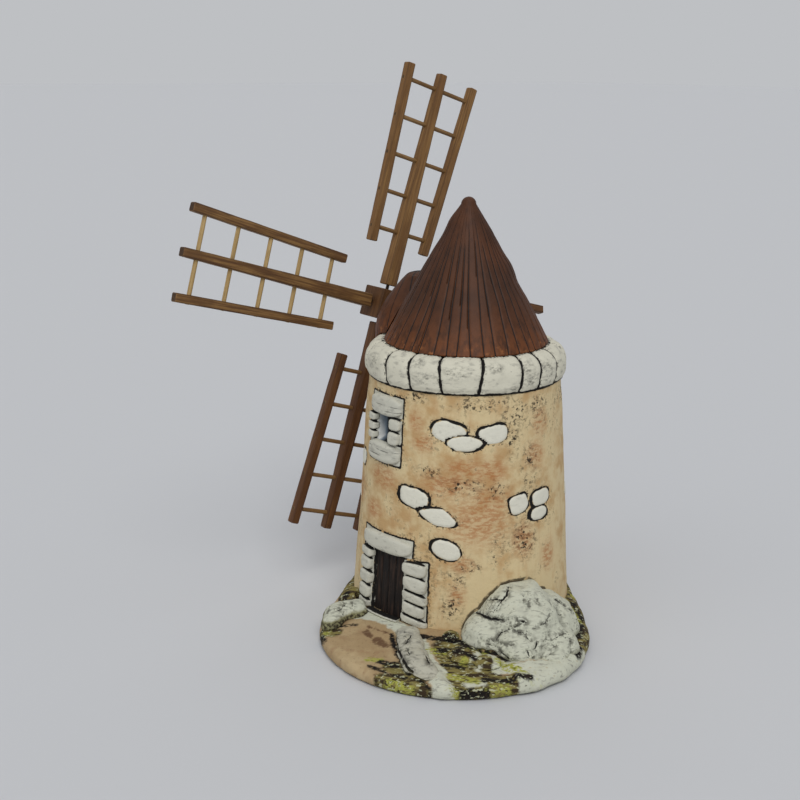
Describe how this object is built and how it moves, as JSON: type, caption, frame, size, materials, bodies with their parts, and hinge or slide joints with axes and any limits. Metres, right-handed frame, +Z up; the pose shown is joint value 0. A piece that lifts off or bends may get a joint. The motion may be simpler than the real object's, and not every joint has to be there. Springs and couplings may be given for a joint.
{
  "type": "clay model of a tower windmill with wooden sails",
  "caption": "Hand-painted clay model of a Mediterranean tower windmill on a rocky base, with a grooved conical roof and wooden ladder sails that turn.",
  "frame": {"origin": "on the tower's axis, at the flat underside of the clay ground", "axes": "+Z up; the windshaft points along -Y, so the sails face -Y; the door and window face about +X"},
  "size_m": [0.225, 0.1553, 0.2461],
  "materials": {
    "ground": "matt painted clay with sand, moss green and dark brown dabs",
    "rock": "matt white painted clay with grey and black in the hollows",
    "wall": "matt beige painted clay, sponged with orange-brown",
    "stone": "matt white painted clay stones with dark scored joints",
    "roof": "red-brown painted clay with scored grooves",
    "door": "dark brown painted clay scored as planks",
    "sail_wood": "stained wood strip",
    "rung_wood": "plain pale round stick",
    "pin_metal": "dark iron wire"
  },
  "bodies": {
    "mill": {"ground_base": "ground", "rock_outcrop": "rock", "rock_ledge": "rock", "path_kerb": "rock", "moss_banks": "ground", "tower_wall": "wall", "collar_ring": "stone", "roof_cone": "roof", "roof_hood": "roof", "door_leaf": "door", "door_sill": "stone", "door_lintel": "stone", "door_jamb_left": "stone", "door_jamb_right": "stone", "window_lintel": "stone", "window_sill": "stone", "window_jamb_left": "stone", "window_jamb_right": "stone"},
    "sails": {"windshaft": "sail_wood", "hub_block": "sail_wood", "sail_upper_stock": "sail_wood", "sail_upper_rail_a": "sail_wood", "sail_upper_rail_b": "sail_wood", "sail_upper_rungs": "rung_wood", "sail_upper_pin": "pin_metal", "sail_left_stock": "sail_wood", "sail_left_rail_a": "sail_wood", "sail_left_rail_b": "sail_wood", "sail_left_rungs": "rung_wood", "sail_left_pin": "pin_metal", "sail_lower_stock": "sail_wood", "sail_lower_rail_a": "sail_wood", "sail_lower_rail_b": "sail_wood", "sail_lower_rungs": "rung_wood", "sail_lower_pin": "pin_metal", "sail_right_stock": "sail_wood", "sail_right_rail_a": "sail_wood", "sail_right_rail_b": "sail_wood", "sail_right_rungs": "rung_wood", "sail_right_pin": "pin_metal"}
  },
  "joints": [
    {"name": "windshaft_turn", "type": "hinge", "parent": "mill", "child": "sails", "pos_m": [0, -0.0614, 0.1335], "axis": [0, -1, 0], "continuous": true}
  ]
}
